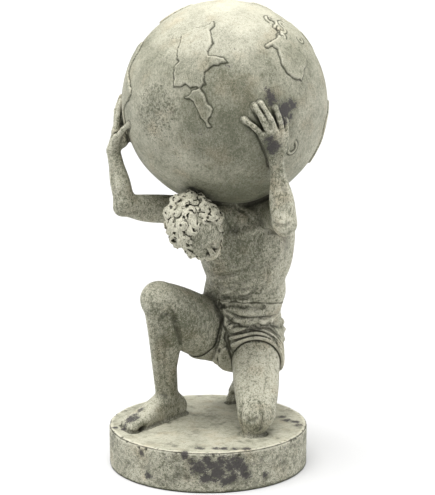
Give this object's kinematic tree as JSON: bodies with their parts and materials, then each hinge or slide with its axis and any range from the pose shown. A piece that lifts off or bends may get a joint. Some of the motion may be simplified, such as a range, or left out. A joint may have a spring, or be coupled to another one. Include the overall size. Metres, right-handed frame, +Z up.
{
  "type": "atlas figurine",
  "caption": "Cast statuette of a kneeling bearded man in a loincloth who holds a globe on his shoulders, on a round plinth.",
  "frame": {"origin": "centre of the plinth's flat underside", "axes": "+Z up through the figure, -Y towards the viewer that the figure faces, +X to that viewer's right"},
  "size_m": [0.2426, 0.2389, 0.5099],
  "materials": {
    "aged_stone": "cast stone with an aged grey green coat, matte"
  },
  "bodies": {
    "root": {"atlas_statue": "aged_stone"}
  },
  "joints": []
}
